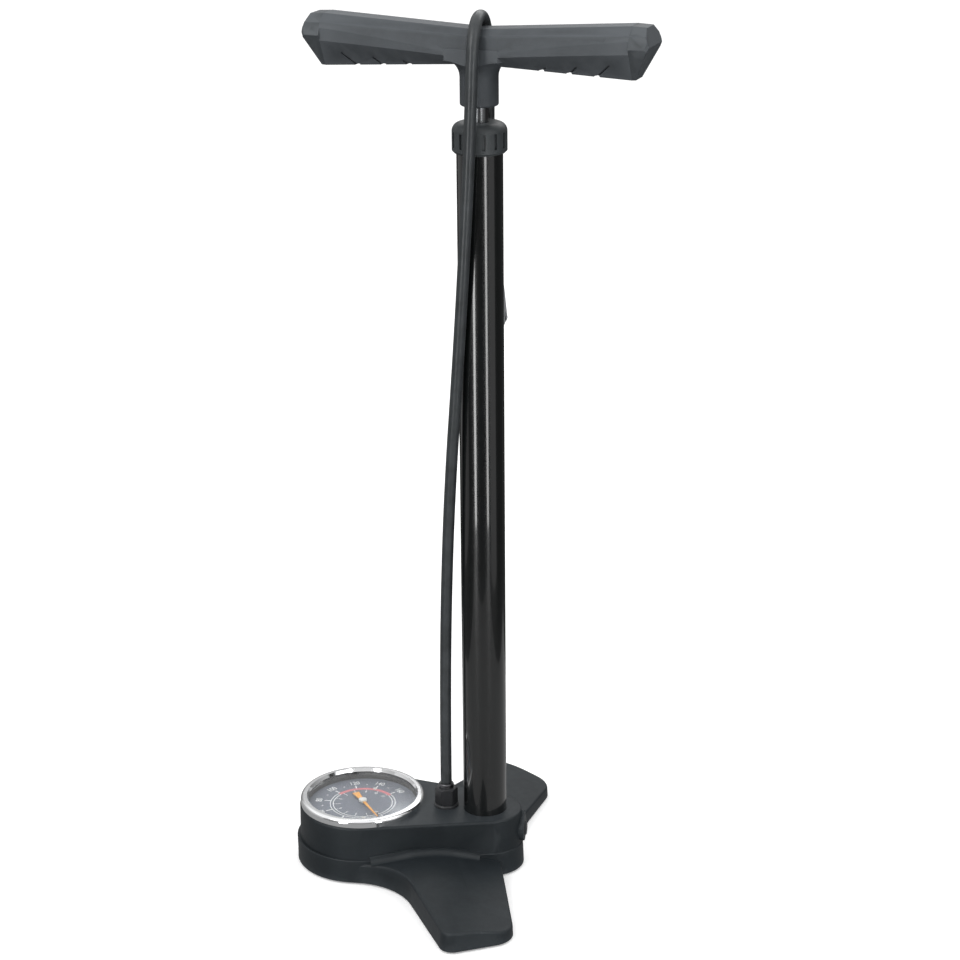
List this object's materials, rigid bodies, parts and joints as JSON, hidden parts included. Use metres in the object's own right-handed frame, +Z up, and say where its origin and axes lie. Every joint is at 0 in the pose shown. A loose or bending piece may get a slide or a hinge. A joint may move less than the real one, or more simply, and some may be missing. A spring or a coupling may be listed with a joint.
{
  "type": "floor bike pump",
  "caption": "Upright floor pump with a gauge set in a three-lobed base, a cross handle on a sliding rod, and a hose hung over the handle with its locking valve head behind the barrel.",
  "frame": {"origin": "on the floor under the barrel's axis", "axes": "+Z up along the barrel; the gauge lies towards -X, the two feet towards -Y and +Y"},
  "size_m": [0.2664, 0.2766, 0.6361],
  "materials": {
    "abs": "fine grained moulding",
    "screw_steel": "zinc plated",
    "pad_rubber": "matte",
    "block_aluminium": "cast",
    "seal_rubber": "matte",
    "valve_pom": "smooth",
    "spring_steel": "bright wire",
    "plug_plastic": "smooth",
    "brass": "turned",
    "nut_plastic": "smooth",
    "ferrule_steel": "blackened",
    "gauge_can": "black",
    "bronze": "drawn tube",
    "dial_paint": "satin black with pale print",
    "lens": "clear",
    "bezel_chrome": "polished",
    "barrel_paint": "gloss black",
    "collar_plastic": "satin",
    "bush_pom": "smooth",
    "hose_rubber": "smooth, slightly glossy",
    "piston_pom": "smooth",
    "rod_steel": "ground bright",
    "handle_plastic": "fine grained moulding",
    "cap_plastic": "fine grained moulding",
    "needle_paint": "orange",
    "head_plastic": "satin",
    "cap_ring": "satin",
    "lever_plastic": "satin grey"
  },
  "bodies": {
    "base": {"base_housing": "abs", "base_plate": "abs", "plate_screws": "screw_steel", "foot_pads": "pad_rubber", "valve_block": "block_aluminium", "barrel_gasket": "seal_rubber", "check_spring": "spring_steel", "valve_plug": "plug_plastic", "hose_barb": "brass", "gland_nut": "nut_plastic", "hose_ferrule": "ferrule_steel", "gauge_case": "gauge_can", "gauge_stem": "brass", "bourdon_tube": "bronze", "movement_frame": "brass", "gauge_dial": "dial_paint", "dial_screws": "screw_steel", "needle_stop": "spring_steel", "gauge_lens": "lens", "gauge_bezel": "bezel_chrome", "barrel": "barrel_paint", "collar_cap": "collar_plastic", "rod_bush": "bush_pom", "rod_wiper": "seal_rubber", "top_bumper": "seal_rubber", "bottom_bumper": "seal_rubber", "hose": "hose_rubber"},
    "plunger": {"piston": "piston_pom", "piston_ring": "seal_rubber"},
    "handle_assembly": {"piston_rod": "rod_steel", "handle": "handle_plastic", "end_cap_left": "cap_plastic", "end_cap_right": "cap_plastic", "rod_nut": "screw_steel", "piston_washer": "screw_steel", "piston_nut": "screw_steel", "rod_clip": "spring_steel"},
    "check_valve": {"check_disc": "valve_pom"},
    "gauge_needle": {"needle": "needle_paint", "needle_pinion": "brass"},
    "gauge_sector": {"sector_gear": "brass", "sector_pin": "spring_steel"},
    "pump_head": {"head_body": "head_plastic", "valve_pin": "brass", "head_grommet": "seal_rubber", "head_cap": "cap_ring", "head_ferrule": "ferrule_steel", "lever_pin": "spring_steel"},
    "lock_lever": {"head_lever": "lever_plastic"}
  },
  "joints": [
    {"name": "handle_lift", "type": "slide", "parent": "base", "child": "plunger", "axis": [0, 0, 1], "range_m": [0, 0.45], "deforming": ["hose"]},
    {"name": "handle_turn", "type": "hinge", "parent": "plunger", "child": "handle_assembly", "pos_m": [0, 0, 0.6], "axis": [0, 0, 1], "range_deg": [-8, 26]},
    {"name": "check_lift", "type": "slide", "parent": "base", "child": "check_valve", "axis": [1, 0, 0], "range_m": [0, 0.0015], "stiffness_N_per_m": 60, "springref_m": -0.001, "deforming": ["check_spring"]},
    {"name": "sector_turn", "type": "hinge", "parent": "base", "child": "gauge_sector", "pos_m": [-0.1072, 0, 0.033], "axis": [0, 0, 1], "range_deg": [0, 38.6], "stiffness_Nm_per_rad": 0.01},
    {"name": "needle_turn", "type": "hinge", "parent": "base", "child": "gauge_needle", "pos_m": [-0.0932, 0, 0.044], "axis": [0, 0, -1], "range_deg": [0, 270.3]},
    {"name": "head_ride", "type": "slide", "parent": "base", "child": "pump_head", "axis": [0, 0, 1], "range_m": [0, 0.45]},
    {"name": "lever_turn", "type": "hinge", "parent": "pump_head", "child": "lock_lever", "pos_m": [0.0092, 0.036, 0.413], "axis": [0, 1, 0], "range_deg": [0, 90]}
  ],
  "couplings": [
    {"joint": "needle_turn", "follows": "sector_turn", "ratio": 7},
    {"joint": "head_ride", "follows": "handle_lift", "ratio": 1}
  ]
}
